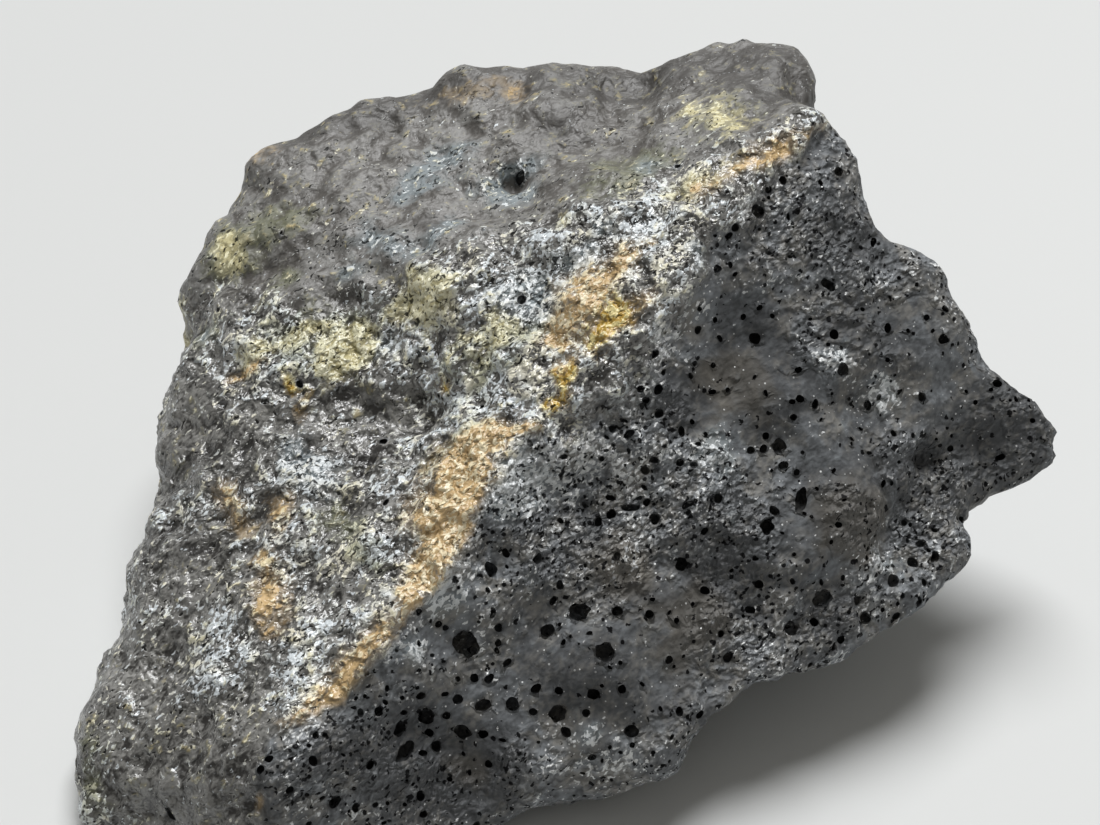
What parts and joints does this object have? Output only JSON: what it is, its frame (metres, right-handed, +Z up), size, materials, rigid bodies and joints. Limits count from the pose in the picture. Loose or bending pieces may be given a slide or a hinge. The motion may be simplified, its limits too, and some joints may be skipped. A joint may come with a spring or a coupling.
{
  "type": "meteorite",
  "caption": "Small dark stony meteorite: one broken wedge with a stained crust, a sharp ridge, a bubbly broken face and a beaked end, lying on its flat side",
  "frame": {"origin": "On the surface the stone lies on, under the middle of its bounding box.", "axes": "+X runs along the stone's longest side towards its beaked end, +Y points to its far edge across the top, +Z is up, out of the flat side it rests on."},
  "size_m": [0.054, 0.046, 0.0245],
  "materials": {
    "stone": "dark grey porous stone, satin to glossy, with ochre and yellow stains on the crust"
  },
  "bodies": {
    "root": {"stone": "stone"}
  },
  "joints": []
}
